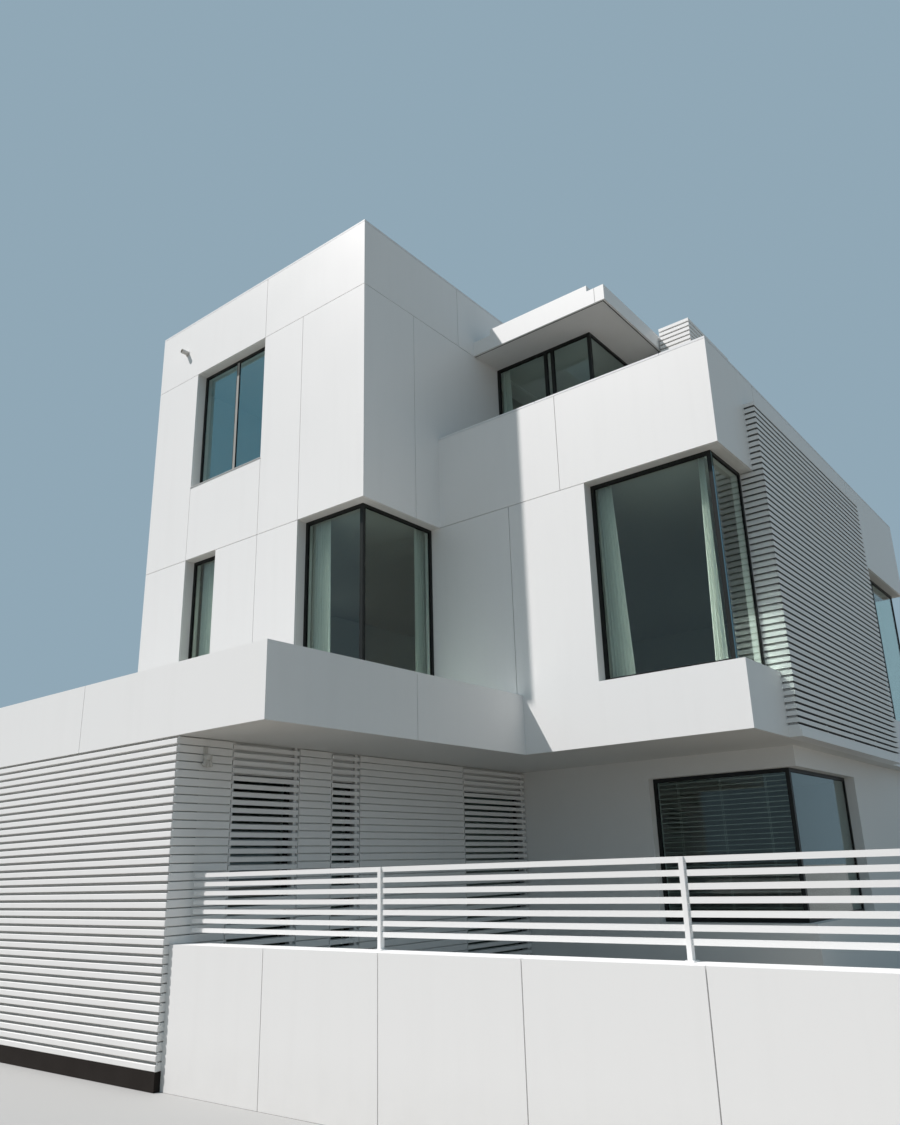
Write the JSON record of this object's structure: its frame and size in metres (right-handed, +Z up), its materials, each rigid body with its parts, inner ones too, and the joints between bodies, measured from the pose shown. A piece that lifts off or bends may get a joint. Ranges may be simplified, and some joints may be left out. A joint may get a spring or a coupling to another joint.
{
  "type": "detached house",
  "caption": "Flat-roofed white panel-clad house: tower, wider block with a slatted side screen, set-back glazed penthouse, low slatted wing under a wrap-round ledge, forecourt wall with railing",
  "frame": {"origin": "on the ground, under the middle of the whole outline", "axes": "+Z up; the sunlit street front faces -Y and the side with the slatted screen faces +X"},
  "size_m": [11.636, 11.81, 9.92],
  "materials": {
    "white_panel": "smooth satin off-white panel",
    "white_slat": "smooth satin off-white slat",
    "render": "fine white render",
    "plaster": "smooth painted plaster",
    "concrete": "trowelled screed",
    "backing": "grey membrane behind slats",
    "plinth": "dark brown base course",
    "coping": "pale coated sheet metal",
    "dark_frame": "dark grey-green coated aluminium",
    "glass": "clear glazing with a green cast",
    "railing": "white coated flat bar",
    "lamp": "grey coated metal fitting",
    "curtain": "sheer pale fabric",
    "blind": "pale blind slats"
  },
  "bodies": {
    "root": {"ground_floor": "concrete", "first_floor": "plaster", "second_floor": "concrete", "tower_roof": "concrete", "wing_front_wall": "backing", "wing_side_wall": "backing", "recess_wall": "render", "ground_side_wall": "render", "left_wall": "plaster", "left_wall_piers": "plaster", "rear_wall": "plaster", "tower_front_wall": "plaster", "tower_side_wall": "plaster", "block_front_wall": "plaster", "block_side_wall": "plaster", "tower_front_panels": "white_panel", "tower_side_panels": "white_panel", "block_front_panels": "white_panel", "block_side_panels": "white_panel", "ledge_panels": "white_panel", "left_panels": "white_panel", "rear_panels": "white_panel", "parapet_copings": "coping", "window_frames": "dark_frame", "tower_corner_frame": "dark_frame", "block_corner_frame": "dark_frame", "rear_corner_frame": "dark_frame", "ground_corner_frame": "dark_frame", "penthouse_frame": "dark_frame", "window_glass": "glass", "wing_plinth": "plinth", "wing_front_slats": "white_slat", "wing_side_boards": "white_slat", "wing_louvres": "white_slat", "side_screen": "white_slat", "side_screen_trim": "white_panel", "penthouse_roof": "white_panel", "penthouse_walls": "render", "roof_enclosure": "backing", "roof_enclosure_slats": "white_slat", "boundary_wall": "render", "boundary_panels": "white_panel", "railing_posts": "railing", "railing_rails": "railing", "wall_lamp": "lamp", "tower_spout": "lamp", "curtains": "curtain", "window_blind": "blind"}
  },
  "joints": []
}
